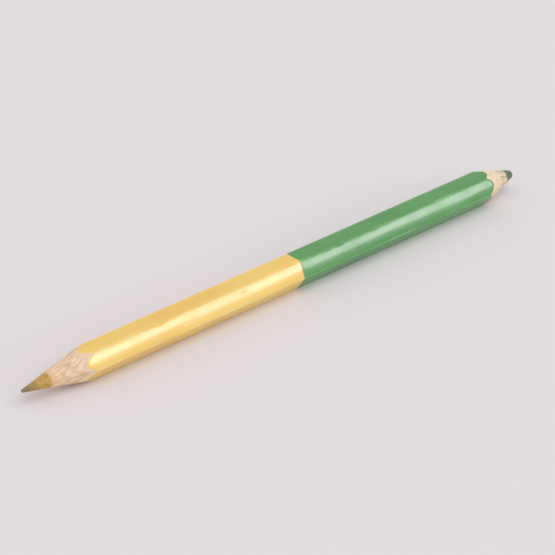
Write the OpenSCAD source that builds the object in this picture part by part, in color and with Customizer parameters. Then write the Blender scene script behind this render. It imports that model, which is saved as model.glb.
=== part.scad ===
// Double-ended, two-colour pencil crayon. A hexagonal casing, glued up from two
// grooved slats, holds a yellow lead and a green lead that meet end to end. Each
// half is lacquered in its lead's colour, and both ends are sharpened.
//
// Frame: the origin is under the middle of the crayon, on the flat it rests on.
// +X runs from the yellow tip to the green tip, and +Z points up.

/* [Barrel] */
// Length from tip to tip
length = 175; // [140:1:190]
// Size across the flats of the lacquered barrel
across_flats = 8; // [7.4:0.1:9]
// Radius of the barrel's six softened edges
edge_radius = 0.55; // [0.3:0.05:0.9]
// Distance from the yellow tip to where the two colours meet
yellow_length = 93; // [65:0.5:115]

/* [Leads] */
// Diameter of each coloured lead
lead_d = 3.8; // [2.8:0.1:4.2]

/* [Sharpened ends] */
// Half-angle of the yellow end's long cone, in degrees
yellow_half_angle = 11; // [9:0.5:14]
// Radius of the yellow lead's point
yellow_tip_r = 0.4; // [0.2:0.05:0.8]
// Half-angle of the green end's short cone, in degrees
green_half_angle = 15.5; // [12:0.5:18]
// Radius of the green lead's worn, blunt point
green_tip_r = 1.2; // [0.6:0.05:1.3]

/* [Coats and glue] */
// Thickness of each colour's lacquer
lacquer_t = 0.09; // [0.05:0.01:0.12]
// Thickness of the pale ground coat under both colours
ground_t = 0.06; // [0.04:0.01:0.1]
// Thickness of the glue between the slats and round the leads
glue_t = 0.08; // [0.05:0.01:0.12]

/* [Hidden] */
$fn = 96;
axis_z = across_flats / 2;
lead_r = lead_d / 2;
groove_r = lead_r + glue_t;
yellow_tip_x = -length / 2;
green_tip_x = length / 2;
split_x = yellow_tip_x + yellow_length;
// Depth of each layer's outer surface below the finished barrel
lacquer_depth = 0;
ground_depth = lacquer_t;
wood_depth = lacquer_t + ground_t;
// Where the arcs of the barrel's softened edges are centred
edge_centre_r = (across_flats / 2 - edge_radius) / cos(30);
edge_steps = 6;

// A hexagon's outline with a flat at the bottom, inside the finished one by depth
function hexagon(depth) = [
    for (corner = [0:5], step = [0:edge_steps])
        let (
            middle = 60 * corner,
            turn = middle - 30 + 60 * step / edge_steps,
            r = edge_radius - depth
        )
        [
            edge_centre_r * cos(middle) + r * cos(turn),
            edge_centre_r * sin(middle) + r * sin(turn)
        ]
];

// A hexagonal bar along the crayon
module bar(depth, from_x, to_x)
    translate([from_x, 0, axis_z])
        rotate([90, 0, 90])
            linear_extrude(to_x - from_x)
                polygon(hexagon(depth));

// A round rod along the crayon
module rod(r, from_x, to_x)
    translate([from_x, 0, axis_z])
        rotate([0, 90, 0])
            cylinder(h = to_x - from_x, r = r);

// What a sharpener leaves: a rounded tip at the origin, then a cone up +Z that is
// as long as the crayon
module point(half_angle, tip_r) {
    round_h = tip_r * (1 - sin(half_angle));
    round_r = tip_r * cos(half_angle);
    cone_h = length - round_h;
    intersection() {
        translate([0, 0, tip_r]) sphere(tip_r);
        cylinder(h = round_h, r = tip_r);
    }
    translate([0, 0, round_h])
        cylinder(h = cone_h, r1 = round_r, r2 = round_r + cone_h * tan(half_angle));
}

module sharpen_yellow_end()
    intersection() {
        children();
        translate([yellow_tip_x, 0, axis_z])
            rotate([0, 90, 0])
                point(yellow_half_angle, yellow_tip_r);
    }

module sharpen_green_end()
    intersection() {
        children();
        translate([green_tip_x, 0, axis_z])
            rotate([0, -90, 0])
                point(green_half_angle, green_tip_r);
    }

module sharpen_both_ends()
    sharpen_yellow_end() sharpen_green_end() children();

// The casing's half on one side of the glue, side being 1 above it and -1 below it,
// with its half-round groove for the leads
module slat(side)
    sharpen_both_ends()
        difference() {
            intersection() {
                bar(wood_depth, yellow_tip_x, green_tip_x);
                translate([0, 0, axis_z + side * (glue_t + across_flats) / 2])
                    cube([length, 2 * across_flats, across_flats], center = true);
            }
            rod(groove_r, yellow_tip_x - 1, green_tip_x + 1);
        }

module upper_slat()
    color("#DDB892") slat(1);

module lower_slat()
    color("#D6AF86") slat(-1);

// One film of glue: flat between the slats, and a sleeve round the leads
module glue_seam()
    color("#C9A06C")
        sharpen_both_ends()
            difference() {
                union() {
                    intersection() {
                        bar(wood_depth, yellow_tip_x, green_tip_x);
                        translate([0, 0, axis_z])
                            cube([length, 2 * across_flats, glue_t], center = true);
                    }
                    rod(groove_r, yellow_tip_x, green_tip_x);
                }
                rod(lead_r, yellow_tip_x - 1, green_tip_x + 1);
            }

module yellow_lead()
    color("#E2A41C")
        sharpen_yellow_end() rod(lead_r, yellow_tip_x, split_x);

module green_lead()
    color("#2F7D3B")
        sharpen_green_end() rod(lead_r, split_x, green_tip_x);

// A hollow hexagonal coat from one depth to a deeper one
module coat(outer_depth, inner_depth, from_x, to_x)
    difference() {
        bar(outer_depth, from_x, to_x);
        bar(inner_depth, from_x - 1, to_x + 1);
    }

module ground_coat()
    color("#EFE6D2")
        sharpen_both_ends()
            coat(ground_depth, wood_depth, yellow_tip_x, green_tip_x);

module yellow_lacquer()
    color("#F2BC46")
        sharpen_yellow_end()
            coat(lacquer_depth, ground_depth, yellow_tip_x, split_x);

module green_lacquer()
    color("#4E9F52")
        sharpen_green_end()
            coat(lacquer_depth, ground_depth, split_x, green_tip_x);

upper_slat();
lower_slat();
glue_seam();
yellow_lead();
green_lead();
ground_coat();
yellow_lacquer();
green_lacquer();
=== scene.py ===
"""The looks of a double-ended, two-colour pencil crayon: a hexagonal wooden casing round a
yellow and a green lead, lacquered in both colours and sharpened at both ends.

Every piece is a closed mesh worked out from the CAD nodes' own boxes. Along the crayon a
piece is a row of rings. A ring gives a radius for each angle round the crayon's axis."""

import math

import bmesh
import bpy
import numpy as np
from mathutils import Matrix, Vector


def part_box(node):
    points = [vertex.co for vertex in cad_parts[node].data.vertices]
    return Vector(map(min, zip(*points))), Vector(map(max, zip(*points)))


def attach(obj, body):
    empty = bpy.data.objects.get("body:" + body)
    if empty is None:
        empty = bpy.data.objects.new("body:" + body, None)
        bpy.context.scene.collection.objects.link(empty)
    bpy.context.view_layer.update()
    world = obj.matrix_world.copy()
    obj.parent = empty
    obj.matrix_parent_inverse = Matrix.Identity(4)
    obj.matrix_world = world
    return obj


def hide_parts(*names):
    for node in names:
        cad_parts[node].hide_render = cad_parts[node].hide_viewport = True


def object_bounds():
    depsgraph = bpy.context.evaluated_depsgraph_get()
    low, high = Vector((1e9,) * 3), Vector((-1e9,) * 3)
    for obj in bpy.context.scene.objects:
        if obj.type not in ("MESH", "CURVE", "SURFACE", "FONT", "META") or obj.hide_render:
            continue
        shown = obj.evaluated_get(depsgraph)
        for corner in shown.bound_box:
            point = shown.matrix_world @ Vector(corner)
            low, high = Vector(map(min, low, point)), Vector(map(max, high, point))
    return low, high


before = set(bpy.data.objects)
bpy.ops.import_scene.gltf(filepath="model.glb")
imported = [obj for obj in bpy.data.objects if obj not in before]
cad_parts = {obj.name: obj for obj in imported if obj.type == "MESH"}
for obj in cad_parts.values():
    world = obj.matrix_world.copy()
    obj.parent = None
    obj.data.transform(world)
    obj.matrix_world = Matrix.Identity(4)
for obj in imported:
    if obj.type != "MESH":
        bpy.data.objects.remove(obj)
CAD_LOW, CAD_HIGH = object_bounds()
MM = 0.001

# ---------------------------------------------------------------------------------------
# Sizes, all taken from the CAD nodes
# ---------------------------------------------------------------------------------------


def half_height(node):
    """Half of a node's size upwards: its radius, or its distance from axis to flat."""
    low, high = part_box(node)
    return (high.z - low.z) / 2


AXIS_Z = half_height("yellow_lacquer")
FLAT_R = half_height("yellow_lacquer")
CORNER_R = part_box("yellow_lacquer")[1].y
GROUND_R = half_height("ground_coat")
WOOD_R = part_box("upper_slat")[1].z - AXIS_Z
GROOVE_R = half_height("glue_seam")
LEAD_R = half_height("yellow_lead")
HALF_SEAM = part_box("upper_slat")[0].z - AXIS_Z
SPLIT_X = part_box("yellow_lead")[1].x

# How far each facet falls away from its middle to its edges, as thick lacquer does
CROWN = 0.045 * MM
# A facet is part of a wide cylinder of this radius
FACET_R = (FLAT_R * math.tan(math.radians(30))) ** 2 / (2 * CROWN)

TURN_STEPS = 360
THETA = np.linspace(0, 2 * math.pi, TURN_STEPS, endpoint=False)


def wobble(x, theta, seed, turns, lengths, waves=14):
    """Smooth noise from about -1 to 1 over the barrel, the same at every run.

    turns and lengths give the least and most waves round the axis and the least and
    most wavelengths along it."""
    rng = np.random.default_rng(seed)
    total = np.zeros(np.broadcast(x, theta).shape)
    for _ in range(waves):
        around = rng.integers(turns[0], turns[1] + 1)
        along = 2 * math.pi / rng.uniform(*lengths)
        total = total + np.cos(around * theta + along * x + rng.uniform(0, 2 * math.pi))
    return total / math.sqrt(waves)


def facet(angle):
    """The distance from the axis to one facet, at an angle from the middle of that facet."""
    behind = FACET_R - FLAT_R
    return np.sqrt(FACET_R**2 - (behind * np.sin(angle)) ** 2) - behind * np.cos(angle)


# The six facets are blended by a power of their distances. This power makes the edges
# between them as soft as the CAD's.
HEX_POWER = math.log(2) / math.log(facet(math.radians(30)) / CORNER_R)


def hexagon(theta, flat_r):
    """The distance from the axis to a hexagonal surface whose flats are flat_r away."""
    total = 0
    for side in range(6):
        total = total + (FLAT_R / facet(theta - math.radians(30 + 60 * side))) ** HEX_POWER
    return FLAT_R * total ** (-1 / HEX_POWER) - (FLAT_R - flat_r)


class End:
    """A sharpened end: the cone that the sharpener cut, with its tool marks."""

    def __init__(self, name, side, seed, lean, tool_marks):
        lead, coat = name + "_lead", name + "_lacquer"
        reach = 0 if side < 0 else 1
        self.side = side
        self.inward = -side
        self.tip_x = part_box(lead)[reach].x
        slat_x, coat_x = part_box("upper_slat")[reach].x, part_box(coat)[reach].x
        self.slope = (GROUND_R - GROOVE_R) / abs(coat_x - slat_x)
        self.apex_x = slat_x - self.inward * GROOVE_R / self.slope
        half_angle = math.atan(self.slope)
        self.tip_r = abs(self.tip_x - self.apex_x) / (1 / math.sin(half_angle) - 1)
        self.seed, self.lean, self.tool_marks = seed, lean, tool_marks

    def radius(self, x, theta):
        """The cut surface's distance from the axis."""
        cone = self.slope * np.abs(x - self.apex_x)
        off_centre = self.lean * np.cos(theta - self.seed)
        marks = wobble(x, theta, self.seed, (0, 3), (0.9 * MM, 2.2 * MM), 8)
        flutes = wobble(x, theta, self.seed + 1, (2, 9), (9 * MM, 40 * MM), 10)
        rough = self.tool_marks * (0.35 * marks + 0.65 * flutes)
        return cone + (off_centre + rough) * np.clip(cone / LEAD_R, 0, 1)

    def reach_x(self, radius, theta):
        """Where along the crayon the cut surface is at a radius."""
        x = self.apex_x + self.inward * radius / self.slope
        for _ in range(4):
            x = x + self.inward * (radius - self.radius(x, theta)) / self.slope
        return x


YELLOW = End("yellow", -1, seed=3, lean=0.05 * MM, tool_marks=0.018 * MM)
GREEN = End("green", 1, seed=8, lean=0.06 * MM, tool_marks=0.024 * MM)

# Where the rings over each end's bare wood stand: 0 at the lead and 1 at the coats
WOOD_SHARES = ((YELLOW, np.linspace(0, 1, 110)), (GREEN, np.linspace(1, 0, 90)))

# ---------------------------------------------------------------------------------------
# Mesh building
# ---------------------------------------------------------------------------------------


def place(x, r, theta):
    """Points at a distance along, and a radius and angle round, the crayon's axis."""
    x, r, theta = np.broadcast_arrays(x, r, theta)
    return np.stack([x, r * np.cos(theta), AXIS_Z + r * np.sin(theta)], -1)


def half_turn(r, side, steps=TURN_STEPS // 2):
    """Angles over the half turn on one side of the glue, for a ring of radius r."""
    share = np.linspace(0, 1, steps)
    margin = np.arcsin(HALF_SEAM / r)
    angle = margin + share * (math.pi - 2 * margin)
    return angle if side > 0 else angle + math.pi


def ring_faces(row_count, per_row, whole_turn, first_point=0):
    """Quads that join each ring of points to the next: one row of quads per ring."""
    columns = per_row if whole_turn else per_row - 1
    column = np.arange(columns)
    beside = (column + 1) % per_row
    here = first_point + np.arange(row_count)[:, None] * per_row
    there = here + per_row
    return np.stack([here + column, here + beside, there + beside, there + column], -1)


def make_piece(name, rows, material, cad_node, whole_turn=True, marked=()):
    """A closed mesh through rings of points, each ring joined to the next, and the last
    to the first. marked gives (first row, last row, material) for stretches of rings."""
    per_row, count = len(rows[0]), len(rows)
    quads = ring_faces(count, per_row, whole_turn) % (count * per_row)
    chosen = np.zeros(quads.shape[:2], int)
    mesh = bpy.data.meshes.new(name)
    mesh.materials.append(material)
    for number, (first, last, marked_material) in enumerate(marked, 1):
        chosen[first:last] = number
        mesh.materials.append(marked_material)
    faces, chosen = quads.reshape(-1, 4).tolist(), chosen.ravel().tolist()
    if not whole_turn:
        starts = [row * per_row for row in range(count)]
        faces += [starts, [start + per_row - 1 for start in reversed(starts)]]
        chosen += [0, 0]
    mesh.from_pydata(np.concatenate(rows).tolist(), [], faces)
    mesh.polygons.foreach_set("material_index", chosen)
    return finish_piece(name, mesh, cad_node)


def finish_piece(name, mesh, cad_node):
    """Cleans a mesh, shades it, and hands it to the frame in place of its CAD node."""
    work = bmesh.new()
    work.from_mesh(mesh)
    bmesh.ops.remove_doubles(work, verts=work.verts, dist=0.0005 * MM)
    bmesh.ops.dissolve_degenerate(work, edges=work.edges, dist=0.0004 * MM)
    big = [face for face in work.faces if len(face.verts) > 4]
    bmesh.ops.triangulate(work, faces=big)
    bmesh.ops.recalc_face_normals(work, faces=work.faces)
    work.to_mesh(mesh)
    work.free()
    mesh.shade_smooth()
    mesh.set_sharp_from_angle(angle=math.radians(32))
    piece = bpy.data.objects.new(name, mesh)
    bpy.context.scene.collection.objects.link(piece)
    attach(piece, "root")
    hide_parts(cad_node)
    return piece


# ---------------------------------------------------------------------------------------
# Materials
# ---------------------------------------------------------------------------------------


def srgb(red, green, blue):
    """A colour given in 0 to 255, as the renderer's linear numbers."""
    channels = []
    for value in (red, green, blue):
        value /= 255
        channels.append(value / 12.92 if value < 0.04045 else ((value + 0.055) / 1.055) ** 2.4)
    return (*channels, 1.0)


class Nodes:
    """A material's node tree, with short calls for the nodes used here."""

    def __init__(self, name):
        self.material = bpy.data.materials.new(name)
        self.material.use_nodes = True
        self.tree = self.material.node_tree
        self.shader = self.tree.nodes["Principled BSDF"]
        self.coordinates = self.add("ShaderNodeTexCoord").outputs["Object"]

    def add(self, kind, **settings):
        node = self.tree.nodes.new(kind)
        for name, value in settings.items():
            setattr(node, name, value)
        return node

    def join(self, value, socket):
        """Puts a link or a plain value into a socket."""
        if isinstance(value, bpy.types.NodeSocket):
            self.tree.links.new(value, socket)
        else:
            socket.default_value = value

    def mapped(self, scale=(1, 1, 1), turn=(0, 0, 0), shift=(0, 0, 0)):
        """The object's coordinates, scaled, turned by degrees and shifted."""
        node = self.add("ShaderNodeMapping")
        self.join(self.coordinates, node.inputs["Vector"])
        node.inputs["Scale"].default_value = scale
        node.inputs["Rotation"].default_value = [math.radians(a) for a in turn]
        node.inputs["Location"].default_value = shift
        return node.outputs["Vector"]

    def noise(self, vector, scale, detail=3.0, roughness=0.5, distortion=0.0):
        node = self.add("ShaderNodeTexNoise")
        self.join(vector, node.inputs["Vector"])
        node.inputs["Scale"].default_value = scale
        node.inputs["Detail"].default_value = detail
        node.inputs["Roughness"].default_value = roughness
        node.inputs["Distortion"].default_value = distortion
        return node.outputs["Fac"]

    def bands(self, vector, scale, distortion, direction="X"):
        node = self.add("ShaderNodeTexWave", wave_type="BANDS", bands_direction=direction)
        self.join(vector, node.inputs["Vector"])
        node.inputs["Scale"].default_value = scale
        node.inputs["Distortion"].default_value = distortion
        return node.outputs["Fac"]

    def spots(self, vector, scale):
        node = self.add("ShaderNodeTexVoronoi")
        self.join(vector, node.inputs["Vector"])
        node.inputs["Scale"].default_value = scale
        return node.outputs["Distance"]

    def ramp(self, value, low, high, to_low=0.0, to_high=1.0):
        """Goes smoothly from to_low to to_high as value goes from low to high."""
        node = self.add("ShaderNodeMapRange", interpolation_type="SMOOTHSTEP")
        self.join(value, node.inputs["Value"])
        node.inputs["From Min"].default_value = low
        node.inputs["From Max"].default_value = high
        node.inputs["To Min"].default_value = to_low
        node.inputs["To Max"].default_value = to_high
        return node.outputs["Result"]

    def math(self, operation, first, second=0.0):
        """One step of arithmetic on two sockets or plain values."""
        node = self.add("ShaderNodeMath", operation=operation)
        self.join(first, node.inputs[0])
        self.join(second, node.inputs[1])
        return node.outputs["Value"]

    def mix(self, share, first, second):
        """The first colour, with a share of the second in it."""
        node = self.add("ShaderNodeMix", data_type="RGBA")
        self.join(share, node.inputs[0])
        self.join(first, node.inputs[6])
        self.join(second, node.inputs[7])
        return node.outputs[2]

    def along(self):
        """Distance along the crayon, in metres."""
        node = self.add("ShaderNodeSeparateXYZ")
        self.join(self.coordinates, node.inputs["Vector"])
        return node.outputs["X"]

    def from_axis(self):
        """Distance from the crayon's axis, in metres."""
        centred = self.add("ShaderNodeVectorMath", operation="MULTIPLY_ADD")
        self.join(self.coordinates, centred.inputs[0])
        centred.inputs[1].default_value = (0, 1, 1)
        centred.inputs[2].default_value = (0, 0, -AXIS_Z)
        length = self.add("ShaderNodeVectorMath", operation="LENGTH")
        self.join(centred.outputs["Vector"], length.inputs[0])
        return length.outputs["Value"]

    def bump(self, height, distance, strength, under=None):
        """A normal for relief of this height, on top of another normal if one is given."""
        node = self.add("ShaderNodeBump")
        self.join(height, node.inputs["Height"])
        node.inputs["Distance"].default_value = distance
        node.inputs["Strength"].default_value = strength
        if under is not None:
            self.join(under, node.inputs["Normal"])
        return node.outputs["Normal"]

    def set(self, **sockets):
        """Sets the shader's sockets, named with underscores for their spaces."""
        for name, value in sockets.items():
            self.join(value, self.shader.inputs[name.replace("_", " ")])


def lacquer(name, colour, deep, pale, seed):
    """Glossy pencil lacquer: a little thin and rubbed along the edges of the hexagon, with
    faint streaks from dipping, dust, scratches and handling marks."""
    m = Nodes(name)
    shift = (seed, seed * 0.7, seed * 0.3)
    streaks = m.noise(m.mapped((9, 1400, 1400), shift=shift), 1.0, 3.0, 0.55)
    clouds = m.noise(m.mapped((30, 90, 90), shift=shift), 1.0, 2.0)
    tone = m.mix(m.ramp(clouds, 0.35, 0.7), colour, deep)
    tone = m.mix(m.ramp(streaks, 0.52, 0.78, 0.0, 0.3), tone, pale)
    specks = m.ramp(m.spots(m.mapped(shift=shift), 1500), 0.06, 0.13, 1.0, 0.0)
    sparse = m.ramp(m.noise(m.mapped(shift=shift), 260, 1.0), 0.6, 0.66)
    tone = m.mix(m.math("MULTIPLY", m.math("MULTIPLY", specks, sparse), 0.3), tone, pale)
    patchy = m.noise(m.mapped((110, 900, 900), shift=shift), 1.0, 4.0, 0.6)
    on_edge = m.ramp(m.from_axis(), CORNER_R - 0.16 * MM, CORNER_R - 0.02 * MM)
    worn_edge = m.math("MULTIPLY", on_edge, m.ramp(patchy, 0.4, 0.7, 0.15, 0.8))
    tone = m.mix(worn_edge, tone, pale)
    scratches = m.noise(m.mapped((28, 4200, 4200), shift=shift), 1.0, 2.0, 0.6, 0.4)
    scratch = m.ramp(scratches, 0.68, 0.74)
    rubbed = m.ramp(m.noise(m.mapped(shift=shift), 190, 3.0), 0.4, 0.75, 0.16, 0.25)
    rough = m.math("ADD", rubbed, m.math("MULTIPLY", scratch, 0.2))
    rough = m.math("ADD", rough, m.math("MULTIPLY", worn_edge, 0.12))
    peel = m.noise(m.mapped(shift=shift), 800, 2.0)
    normal = m.bump(peel, 0.008 * MM, 0.6)
    normal = m.bump(scratches, 0.004 * MM, 0.5, under=normal)
    m.set(Base_Color=tone, Roughness=rough, Normal=normal)
    m.set(IOR=1.5, Specular_IOR_Level=0.42, Coat_Weight=0.45, Coat_Roughness=0.07)
    m.set(Coat_Normal=m.bump(peel, 0.004 * MM, 0.5))
    return m.material


def cut_lacquer(name, colour, pale):
    """The coat's own thickness where the sharpener cut through it: scraped and matte."""
    m = Nodes(name)
    grit = m.noise(m.mapped(), 5200, 4.0, 0.7)
    m.set(Base_Color=m.mix(m.ramp(grit, 0.3, 0.75), colour, pale))
    m.set(Roughness=m.ramp(grit, 0.2, 0.8, 0.45, 0.7), Normal=m.bump(grit, 0.02 * MM, 0.8))
    return m.material


def primer():
    """The chalky ground coat."""
    m = Nodes("pale_primer")
    grit = m.noise(m.mapped(), 4200, 4.0, 0.65)
    stain = m.noise(m.mapped(), 700, 2.0)
    tone = m.mix(m.ramp(stain, 0.35, 0.7), srgb(243, 232, 212), srgb(222, 203, 176))
    m.set(Base_Color=tone, Roughness=m.ramp(grit, 0.2, 0.8, 0.6, 0.8))
    m.set(Normal=m.bump(grit, 0.02 * MM, 0.7))
    return m.material


def shaved_wood(name, ring_turn, seed):
    """Pale softwood, cut across its grain by the sharpener: growth rings, fibres along
    the crayon, short dark pores, fine chatter marks, and pigment rubbed in by the lead."""
    m = Nodes(name)
    shift = (seed, seed * 1.3, seed * 0.6)
    waver = m.noise(m.mapped((60, 300, 300), shift=shift), 1.0, 2.0)
    rings_at = m.mapped((25, 1000, 1000), turn=(ring_turn, 0, 0), shift=shift)
    distorted = m.add("ShaderNodeVectorMath", operation="ADD")
    m.join(rings_at, distorted.inputs[0])
    lift = m.add("ShaderNodeCombineXYZ")
    m.join(m.math("MULTIPLY", waver, 1.6), lift.inputs["Y"])
    m.join(lift.outputs["Vector"], distorted.inputs[1])
    rings = m.bands(distorted.outputs["Vector"], 0.42, 1.1, "Y")
    fibres = m.noise(m.mapped((120, 5200, 5200), shift=shift), 1.0, 4.0, 0.6, 0.2)
    coarse = m.noise(m.mapped((70, 1500, 1500), shift=shift), 1.0, 3.0, 0.55)
    pores = m.ramp(m.noise(m.mapped((420, 7600, 7600), shift=shift), 1.0, 1.5), 0.66, 0.73)
    pale, mid, dark = srgb(246, 224, 194), srgb(234, 202, 164), srgb(196, 150, 110)
    tone = m.mix(m.ramp(rings, 0.15, 0.95), pale, mid)
    tone = m.mix(m.ramp(coarse, 0.45, 0.75, 0.0, 0.55), tone, dark)
    tone = m.mix(m.ramp(fibres, 0.5, 0.8, 0.0, 0.5), tone, dark)
    tone = m.mix(m.math("MULTIPLY", pores, 0.6), tone, srgb(150, 104, 72))
    chatter_at = m.mapped((1000, 120, 120), turn=(0, 2, 3), shift=shift)
    chatter = m.bands(chatter_at, 1.5, 2.2)
    tone = m.mix(m.ramp(chatter, 0.0, 0.4, 0.16, 0.0), tone, dark)
    along = m.along()
    # The wood goes a little paler towards the green end
    tone = m.mix(m.ramp(along, -10 * MM, 10 * MM, 0.0, 0.4), tone, srgb(250, 234, 210))
    smear = m.noise(m.mapped((260, 1300, 1300), shift=shift), 1.0, 4.0, 0.65)
    for end, stain in ((YELLOW, srgb(226, 164, 50)), (GREEN, srgb(70, 116, 70))):
        edge = float(np.mean(end.reach_x(GROOVE_R, THETA)))
        near = m.ramp(along, edge, edge + end.inward * 4.5 * MM, 1.0, 0.0)
        if end.side > 0:
            near = m.ramp(along, edge - 4.5 * MM, edge, 0.0, 1.0)
        rubbed = m.math("MULTIPLY", near, m.ramp(smear, 0.42, 0.72, 0.06, 0.75))
        tone = m.mix(rubbed, tone, stain)
    normal = m.bump(chatter, 0.02 * MM, 0.5)
    normal = m.bump(fibres, 0.03 * MM, 0.7, under=normal)
    normal = m.bump(pores, -0.03 * MM, 0.6, under=normal)
    m.set(Base_Color=tone, Roughness=m.ramp(fibres, 0.3, 0.8, 0.52, 0.74), Normal=normal)
    m.set(Subsurface_Weight=0.06, Subsurface_Scale=0.0006, Specular_IOR_Level=0.35)
    return m.material


def glue():
    """Dried wood glue: a thin, amber, slightly shiny line."""
    m = Nodes("wood_glue")
    grit = m.noise(m.mapped(), 2600, 3.0)
    tone = m.mix(m.ramp(grit, 0.3, 0.75), srgb(218, 180, 134), srgb(186, 142, 98))
    m.set(Base_Color=tone, Roughness=m.ramp(grit, 0.3, 0.8, 0.35, 0.6))
    m.set(Normal=m.bump(grit, 0.02 * MM, 0.6))
    return m.material


def wax_lead(name, end, colour, deep, pale, tip_dirt_and_shade, seed):
    """A wax and pigment core: shaved in fine rings by the sharpener, with a few pits and
    a burnished point. It goes darker and greyer towards the point: pigment dirt from what
    it last drew over, and on the yellow lead painted shade as well."""
    m = Nodes(name)
    shift = (seed, seed * 0.4, seed * 0.9)
    mottle = m.noise(m.mapped(shift=shift), 900, 4.0, 0.6)
    streaks = m.bands(m.mapped((1000, 90, 90), turn=(0, 3, 4), shift=shift), 2.6, 3.0)
    crumbs = m.noise(m.mapped(shift=shift), 4200, 3.0, 0.7)
    pits = m.ramp(m.spots(m.mapped(shift=shift), 2600), 0.1, 0.24, 1.0, 0.0)
    tone = m.mix(m.ramp(mottle, 0.35, 0.7), colour, deep)
    tone = m.mix(m.ramp(streaks, 0.55, 1.0, 0.0, 0.3), tone, pale)
    tone = m.mix(m.ramp(crumbs, 0.55, 0.8, 0.0, 0.4), tone, pale)
    # Painted shade: the pits are darkened towards the deep colour
    tone = m.mix(m.math("MULTIPLY", pits, 0.45), tone, deep)
    from_tip = m.math("ABSOLUTE", m.math("SUBTRACT", m.along(), end.tip_x))
    uneven = m.math("SUBTRACT", from_tip, m.math("MULTIPLY", mottle, 3 * MM))
    # Towards the point the colour goes to the given tip colour: pigment dirt, and on the yellow
    # lead painted shade as well
    tone = m.mix(m.ramp(uneven, -1.4 * MM, 4.2 * MM, 0.95, 0.0), tone, tip_dirt_and_shade)
    normal = m.bump(streaks, 0.018 * MM, 0.5)
    normal = m.bump(crumbs, 0.02 * MM, 0.7, under=normal)
    normal = m.bump(pits, -0.04 * MM, 0.6, under=normal)
    m.set(Base_Color=tone, Roughness=m.ramp(mottle, 0.3, 0.75, 0.34, 0.52), Normal=normal)
    m.set(Subsurface_Weight=0.12, Subsurface_Scale=0.0005, Specular_IOR_Level=0.45)
    return m.material


# ---------------------------------------------------------------------------------------
# The pieces
# ---------------------------------------------------------------------------------------


def chips(theta, seed, most, flaws):
    """How far a coat has flaked back from its cut edge at each angle: a fine ragged edge
    and a few small bites."""
    rng = np.random.default_rng(seed)
    ragged = np.abs(wobble(0, theta, seed, (20, 95), (1, 2), 30)) * 0.16 * most
    bites = np.zeros_like(theta)
    for _ in range(flaws):
        centre, width = rng.uniform(0, 2 * math.pi), rng.uniform(0.02, 0.09)
        gap = np.abs((theta - centre + math.pi) % (2 * math.pi) - math.pi) / width
        bites = np.maximum(bites, rng.uniform(0.3, 1.0) * np.clip(1.15 - gap, 0, 1))
    return ragged + bites * most


EDGE_DENTS, FLAT_DENTS = 30, 14


def dents(x, theta):
    """How deep the lacquer is pressed in: small knocks on the hexagon's edges, and some
    shallower ones on its flats."""
    rng = np.random.default_rng(57)
    depth = np.zeros(np.broadcast(x, theta).shape)
    for number in range(EDGE_DENTS + FLAT_DENTS):
        on_edge = number < EDGE_DENTS
        centre_x = rng.uniform(CAD_LOW.x + 22 * MM, CAD_HIGH.x - 16 * MM)
        edge = 60 * rng.integers(0, 6)
        centre = math.radians(edge + (0 if on_edge else rng.uniform(12, 48)))
        length = rng.uniform(0.5, 1.3) * MM
        width = rng.uniform(0.05, 0.11)
        deepest = rng.uniform(0.015, 0.05) * MM * (1 if on_edge else 0.5)
        around = (theta - centre + math.pi) % (2 * math.pi) - math.pi
        away = ((x - centre_x) / length) ** 2 + (around / width) ** 2
        depth = np.maximum(depth, deepest * np.exp(-away))
    return depth


def barrel_rows(from_x, to_x, flat_r, count, ripple=0.0):
    """Rings along the hexagon between two edges, each given for every angle. ripple is how
    uneven the lacquer's outer surface is. The bare sides of the other coats have none."""
    rows = []
    for share in np.linspace(0, 1, count):
        x = from_x + share * (to_x - from_x)
        r = hexagon(THETA, flat_r)
        if ripple and 0 < share < 1:
            wave = ripple * wobble(x, THETA, 21, (0, 5), (14 * MM, 70 * MM))
            r = r + (wave - dents(x, THETA)) * math.sin(math.pi * share) ** 0.5
        rows.append(place(x, r, THETA))
    return rows


def coat_edge(end, outer_r, inner_r, seed, most, flaws):
    """Where a coat's cut starts on its outer and on its inner surface."""
    flake = end.inward * chips(THETA, seed, most, flaws)
    outer = end.reach_x(hexagon(THETA, outer_r), THETA) + flake
    inner = end.reach_x(hexagon(THETA, inner_r), THETA) + flake * 0.8
    return outer, inner


def cut_rows(outer_x, inner_x, outer_r, inner_r, count=3):
    """Rings down a coat's cut face, between its outer and its inner edge."""
    rows = []
    for share in np.linspace(0, 1, count + 2)[1:-1]:
        x = outer_x + share * (inner_x - outer_x)
        r = hexagon(THETA, outer_r) * (1 - share) + hexagon(THETA, inner_r) * share
        rows.append(place(x, r, THETA))
    return rows


def make_yellow_lacquer(material, cut_material):
    outer_x, inner_x = coat_edge(YELLOW, FLAT_R, GROUND_R, 31, 0.28 * MM, 9)
    split = np.full_like(THETA, SPLIT_X)
    rows = barrel_rows(outer_x, split, FLAT_R, 200, 0.004 * MM)
    inner = barrel_rows(split, inner_x, GROUND_R, 4)
    cut = cut_rows(inner_x, outer_x, GROUND_R, FLAT_R)
    first_cut = len(rows) + len(inner) - 1
    rows = rows + inner + cut
    return make_piece(
        "lacquer_yellow_half", rows, material, "yellow_lacquer",
        marked=[(first_cut, len(rows), cut_material)],
    )


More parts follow.
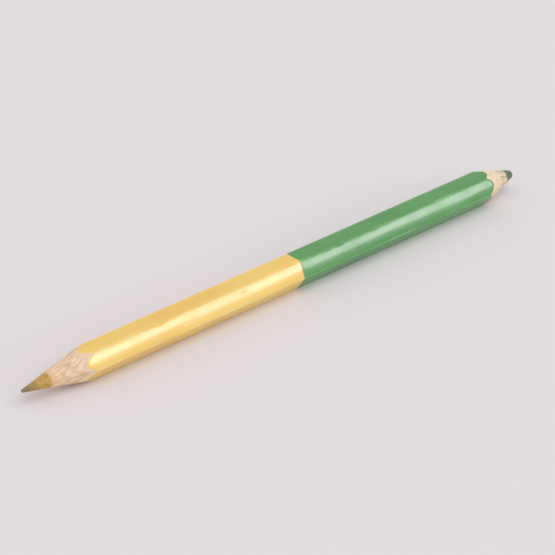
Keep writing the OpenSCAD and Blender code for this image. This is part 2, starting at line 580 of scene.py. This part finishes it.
def make_green_lacquer(material, cut_material):
    """The green coat was dipped after the yellow one, so its edge laps over it."""
    outer_x, inner_x = coat_edge(GREEN, FLAT_R, GROUND_R, 47, 0.3 * MM, 10)
    lap = 0.45 * MM + 0.09 * MM * wobble(0, THETA, 12, (1, 5), (1, 2), 6)
    lip_x = SPLIT_X - lap
    surface = hexagon(THETA, FLAT_R)
    # The lip's section, from its front edge back. It is rubbed flat where the crayon rests.
    forward = np.array([0, 0.03, 0.09, 0.2, 0.4, 0.7, 1.1]) * MM
    rise = np.array([0.002, 0.016, 0.026, 0.030, 0.025, 0.013, 0.004]) * MM
    left = np.clip(1 + np.sin(THETA), 0, 0.5) * 2
    lip = [place(lip_x + step, surface + up * left, THETA) for step, up in zip(forward, rise)]
    rows = lip + barrel_rows(lip_x + 1.6 * MM, outer_x, FLAT_R, 170, 0.004 * MM)
    first_cut = len(rows) - 1
    rows = rows + cut_rows(outer_x, inner_x, FLAT_R, GROUND_R)
    last_cut = len(rows)
    split = np.full_like(THETA, SPLIT_X)
    rows = rows + barrel_rows(inner_x, split, GROUND_R, 4)
    rows.append(place(split, surface, THETA))
    return make_piece(
        "lacquer_green_half", rows, material, "green_lacquer",
        marked=[(first_cut, last_cut, cut_material)],
    )


def make_ground_coat(material):
    yellow_outer, yellow_inner = coat_edge(YELLOW, GROUND_R, WOOD_R, 33, 0.12 * MM, 6)
    green_outer, green_inner = coat_edge(GREEN, GROUND_R, WOOD_R, 49, 0.12 * MM, 6)
    rows = barrel_rows(yellow_outer, green_outer, GROUND_R, 24)
    rows += cut_rows(green_outer, green_inner, GROUND_R, WOOD_R, 2)
    rows += barrel_rows(green_inner, yellow_inner, WOOD_R, 8)
    rows += cut_rows(yellow_inner, yellow_outer, WOOD_R, GROUND_R, 2)
    return make_piece("primer_coat", rows, material, "ground_coat")


def half_ring(x_of, r_of, side):
    """A half ring on one side of the glue. x_of and r_of give x and radius by angle."""
    theta = half_turn(WOOD_R, side)
    for _ in range(3):
        x = x_of(theta)
        theta = half_turn(r_of(x, theta), side)
    x = x_of(theta)
    return place(x, r_of(x, theta), theta)


def make_slat(name, cad_node, side, material):
    """Half of the casing. Only its two sharpened ends show."""
    rows = []
    for end, shares in WOOD_SHARES:
        for share in shares:

            def x_of(theta, end=end, share=share):
                start = end.reach_x(GROOVE_R, theta)
                stop = end.reach_x(hexagon(theta, WOOD_R), theta)
                return start + share * (stop - start)

            rows.append(half_ring(x_of, end.radius, side))
        if end is YELLOW:
            # Along the barrel, under the coats, to the green end
            for share in np.linspace(0, 1, 12)[1:-1]:

                def x_of(theta, share=share):
                    start = YELLOW.reach_x(hexagon(theta, WOOD_R), theta)
                    stop = GREEN.reach_x(hexagon(theta, WOOD_R), theta)
                    return start + share * (stop - start)

                rows.append(half_ring(x_of, lambda x, theta: hexagon(theta, WOOD_R), side))
    # Back along the groove that holds the leads
    for share in np.linspace(0, 1, 12)[1:-1]:

        def x_of(theta, share=share):
            start = GREEN.reach_x(GROOVE_R, theta)
            stop = YELLOW.reach_x(GROOVE_R, theta)
            return start + share * (stop - start)

        rows.append(half_ring(x_of, lambda x, theta: GROOVE_R + 0 * theta, side))
    return make_piece(name, rows, material, cad_node, whole_turn=False)


def make_glue(material):
    """The sleeve round the leads and the two flat strips between the slats."""
    rows = []
    for end, shares in ((YELLOW, np.linspace(0, 1, 5)), (GREEN, np.linspace(1, 0, 5))):
        start, stop = end.reach_x(LEAD_R, THETA), end.reach_x(GROOVE_R, THETA)
        for share in shares:
            x = start + share * (stop - start)
            rows.append(place(x, end.radius(x, THETA), THETA))
    inner_from, inner_to = GREEN.reach_x(LEAD_R, THETA), YELLOW.reach_x(LEAD_R, THETA)
    for share in np.linspace(0, 1, 6)[1:-1]:
        rows.append(place(inner_from + share * (inner_to - inner_from), LEAD_R, THETA))
    make_piece("glue_sleeve", rows, material, "glue_seam")
    for name, angle in (("glue_line_right", 0.0), ("glue_line_left", math.pi)):
        outline = []
        for end, shares in WOOD_SHARES:
            start = end.reach_x(GROOVE_R, angle)
            stop = end.reach_x(hexagon(angle, WOOD_R), angle)
            for share in shares:
                x = start + share * (stop - start)
                outline.append((float(x), float(end.radius(x, angle))))
        bottom = [(x, GROOVE_R) for x, _ in outline]
        edges = (
            (outline, -HALF_SEAM), (outline, HALF_SEAM), (bottom, HALF_SEAM), (bottom, -HALF_SEAM)
        )
        strip = []
        for edge, height in edges:
            strip.append([(x, r * math.cos(angle), AXIS_Z + height) for x, r in edge])
        make_piece(name, strip, material, "glue_seam", whole_turn=False)


def worn(points, end, facet_turn, facet_tilt, facet_depth):
    """Flattens a lead's point against a slanted plane, where it has been drawn with."""
    tilt, turn = math.radians(facet_tilt), math.radians(facet_turn)
    sideways = math.sin(tilt)
    normal = np.array(
        [end.side * math.cos(tilt), sideways * math.cos(turn), sideways * math.sin(turn)]
    )
    centre = np.array([end.tip_x - end.side * end.tip_r, 0, AXIS_Z])
    limit = end.tip_r - facet_depth
    height = (points - centre) @ normal
    over = np.maximum(height - limit, 0)
    return points - 0.93 * over[..., None] * normal


# How many rings from the tip can be worn flat
WORN_RINGS = 30


def make_lead(name, cad_node, end, material, facet):
    """A lead from its worn point back to where the two leads meet. facet is the worn
    plane's turn round the axis, its tilt, both in degrees, and its depth."""
    half_angle = math.atan(end.slope)
    centre_x = end.tip_x - end.side * end.tip_r
    rows = []
    for share in np.linspace(0, 1, 26):
        polar = share * (math.pi / 2 - half_angle) + 1e-3
        x = centre_x + end.side * end.tip_r * math.cos(polar)
        uneven = 1 + 0.02 * wobble(x, THETA, end.seed + 5, (1, 6), (0.6 * MM, 2 * MM), 8)
        r = end.tip_r * math.sin(polar) * (uneven if 0 < share < 1 else 1)
        rows.append(place(x, r, THETA))
    cone_from = centre_x + end.side * end.tip_r * math.sin(half_angle)
    cone_to = end.reach_x(LEAD_R, THETA)
    for share in np.linspace(0, 1, 70)[1:]:
        x = cone_from + share * (cone_to - cone_from)
        rows.append(place(x, end.radius(x, THETA), THETA))
    for share in np.linspace(0, 1, 6)[1:]:
        rows.append(place(cone_to + share * (SPLIT_X - cone_to), LEAD_R, THETA))
    rows = [worn(row, end, *facet) for row in rows[:WORN_RINGS]] + rows[WORN_RINGS:]
    tip = rows[0].mean(0)
    mesh = bpy.data.meshes.new(name)
    points = np.concatenate([tip[None], *rows, [[SPLIT_X, 0, AXIS_Z]]])
    quads = ring_faces(len(rows) - 1, TURN_STEPS, True, first_point=1)
    faces = quads.reshape(-1, 4).tolist()
    last = len(points) - 1
    last_ring = last - TURN_STEPS
    for column in range(TURN_STEPS):
        beside = (column + 1) % TURN_STEPS
        faces.append((0, 1 + beside, 1 + column))
        faces.append((last, last_ring + column, last_ring + beside))
    mesh.from_pydata(points.tolist(), [], faces)
    mesh.materials.append(material)
    return finish_piece(name, mesh, cad_node)


make_yellow_lacquer(
    lacquer("yellow_gloss", srgb(243, 206, 98), srgb(238, 194, 82), srgb(250, 226, 152), 1.7),
    cut_lacquer("yellow_lacquer_cut", srgb(246, 200, 92), srgb(252, 222, 144)),
)
make_green_lacquer(
    lacquer("green_gloss", srgb(76, 154, 74), srgb(60, 137, 62), srgb(128, 193, 120), 4.1),
    cut_lacquer("green_lacquer_cut", srgb(96, 164, 98), srgb(140, 196, 138)),
)
make_ground_coat(primer())
make_slat("casing_upper_half", "upper_slat", 1, shaved_wood("casing_wood_upper", 24, 2.3))
make_slat("casing_lower_half", "lower_slat", -1, shaved_wood("casing_wood_lower", -37, 6.1))
make_glue(glue())
# The yellow lead's dark olive-grey point colour is painted shade as well as pigment dirt
YELLOW_WAX = wax_lead(
    "yellow_wax", YELLOW, srgb(200, 160, 76), srgb(174, 136, 58), srgb(222, 192, 122),
    tip_dirt_and_shade=srgb(122, 116, 90), seed=0.9,
)
GREEN_WAX = wax_lead(
    "green_wax", GREEN, srgb(76, 130, 84), srgb(54, 104, 64), srgb(124, 172, 124),
    tip_dirt_and_shade=srgb(88, 112, 92), seed=3.3,
)
make_lead(
    "lead_yellow", "yellow_lead", YELLOW, YELLOW_WAX,
    facet=(-60, 38, 0.1 * MM),
)
make_lead(
    "lead_green", "green_lead", GREEN, GREEN_WAX,
    facet=(-75, 34, 0.22 * MM),
)

# ---------------------------------------------------------------------------------------
# Stage: floor, lights and camera
# ---------------------------------------------------------------------------------------


# The floor and the sky come out alike, so that no horizon shows in a low view
SKY = srgb(224, 219, 222)
FLOOR = srgb(229, 226, 227)


def make_floor():
    """A plain, matte, pale floor."""
    reach = 8.0
    corners = [(-reach, -reach, 0), (reach, -reach, 0), (reach, reach, 0), (-reach, reach, 0)]
    mesh = bpy.data.meshes.new("floor")
    mesh.from_pydata(corners, [], [(0, 1, 2, 3)])
    m = Nodes("pale_floor")
    m.set(Base_Color=FLOOR, Roughness=1.0, Specular_IOR_Level=0.0)
    mesh.materials.append(m.material)
    floor = bpy.data.objects.new("floor", mesh)
    bpy.context.scene.collection.objects.link(floor)


def direction(azimuth, elevation):
    """The unit vector towards a view, in the viewer's degrees."""
    azimuth, elevation = math.radians(azimuth), math.radians(elevation)
    level = math.cos(elevation)
    return Vector((level * math.sin(azimuth), -level * math.cos(azimuth), math.sin(elevation)))


def softbox(name, low, high, distance, length, centre_x, radiance):
    """A light whose long side is parallel to the crayon. low and high are angles round the
    crayon's axis, in degrees from -Y up over the top, between which it stands."""
    light = bpy.data.lights.new(name, "AREA")
    light.shape = "RECTANGLE"
    light.size = length
    light.size_y = 2 * distance * math.tan(math.radians(high - low) / 2)
    light.energy = radiance * math.pi * light.size * light.size_y
    lamp = bpy.data.objects.new(name, light)
    turn = math.radians((low + high) / 2)
    lamp.location = (centre_x, -distance * math.cos(turn), AXIS_Z + distance * math.sin(turn))
    lamp.rotation_euler = (math.pi / 2 - turn, 0, 0)
    bpy.context.scene.collection.objects.link(lamp)


def soft_sun(name, azimuth, elevation, spread, strength):
    """Even light over the whole floor, from a disc of sky spread degrees across."""
    light = bpy.data.lights.new(name, "SUN")
    light.energy = strength
    light.angle = math.radians(spread)
    lamp = bpy.data.objects.new(name, light)
    lamp.rotation_mode = "QUATERNION"
    lamp.rotation_quaternion = direction(azimuth, elevation).to_track_quat("Z", "Y")
    bpy.context.scene.collection.objects.link(lamp)


def make_lights():
    world = bpy.data.worlds.new("studio")
    world.use_nodes = True
    world.node_tree.nodes["Background"].inputs["Color"].default_value = SKY
    bpy.context.scene.world = world
    soft_sun("broad_light", azimuth=20, elevation=67, spread=60, strength=0.72)
    softbox(
        "key_strip", low=18.4, high=22.2, distance=1.2, length=0.7, centre_x=1.06, radiance=9.5
    )
    softbox(
        "second_strip", low=27.5, high=30.5, distance=1.2, length=0.6, centre_x=-1.0, radiance=6
    )


VIEW_AZIMUTH, VIEW_ELEVATION = -49.5, 29.8
VIEW_DISTANCE = 1.225
# How steeply the crayon rises across the picture, and how much of its width it fills
RISE, FILL = math.radians(24), 0.88


def make_camera():
    centre = (CAD_LOW + CAD_HIGH) / 2
    back = direction(VIEW_AZIMUTH, VIEW_ELEVATION)
    level = (-back).to_track_quat("-Z", "Y")
    seen = level.inverted() @ Vector((1, 0, 0))
    roll = math.atan2(seen.y, seen.x) - RISE
    data = bpy.data.cameras.new("camera")
    length = (CAD_HIGH.x - CAD_LOW.x) * math.hypot(seen.x, seen.y)
    data.sensor_width = 36
    data.lens = data.sensor_width * VIEW_DISTANCE * FILL / (length * math.cos(RISE))
    data.clip_start, data.clip_end = 0.05, 20
    camera = bpy.data.objects.new("camera", data)
    camera.location = centre + back * VIEW_DISTANCE
    camera.rotation_mode = "QUATERNION"
    camera.rotation_quaternion = level @ Matrix.Rotation(roll, 3, "Z").to_quaternion()
    bpy.context.scene.collection.objects.link(camera)
    bpy.context.scene.camera = camera


make_floor()
make_lights()
make_camera()
bpy.context.scene.view_settings.view_transform = "Standard"
